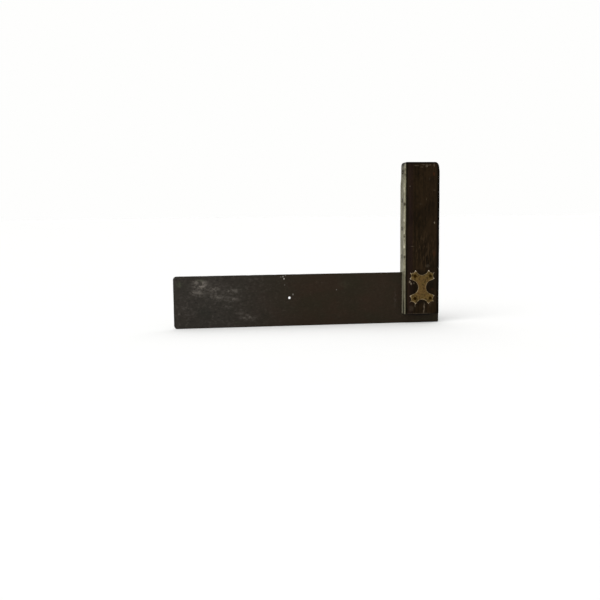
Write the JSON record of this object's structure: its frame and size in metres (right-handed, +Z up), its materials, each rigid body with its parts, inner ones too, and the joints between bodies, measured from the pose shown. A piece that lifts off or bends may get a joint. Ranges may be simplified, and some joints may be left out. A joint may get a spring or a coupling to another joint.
{
  "type": "try square",
  "caption": "Large joiner's try square for marking out: long steel blade with a hanging hole, riveted at right angles into a brass-faced hardwood stock.",
  "frame": {"origin": "bottom centre of the whole tool, which stands on the blade's outer edge", "axes": "+X from the blade's tip to the stock, +Y through the thickness, +Z up along the stock"},
  "size_m": [0.356, 0.0196, 0.2148],
  "materials": {
    "blade_steel": "dark aged patina, lightly pitted",
    "stock_wood": "dark rosewood, worn oil polish",
    "brass": "dull, tarnished",
    "brass_rivet_plate": "brown tarnish with rubbed edges",
    "rivet_iron": "dark, peened and filed",
    "screw_iron": "dark, slot filled with grime"
  },
  "bodies": {
    "root": {"blade": "blade_steel", "stock": "stock_wood", "face_plate": "brass", "front_rivet_plate": "brass_rivet_plate", "back_rivet_plate": "brass_rivet_plate", "rivet_upper_inner": "rivet_iron", "rivet_upper_outer": "rivet_iron", "rivet_lower_inner": "rivet_iron", "rivet_lower_outer": "rivet_iron", "face_screw_1": "screw_iron", "face_screw_2": "screw_iron", "face_screw_3": "screw_iron", "face_screw_4": "screw_iron", "front_prong_pin": "brass", "back_prong_pin": "brass"}
  },
  "joints": []
}
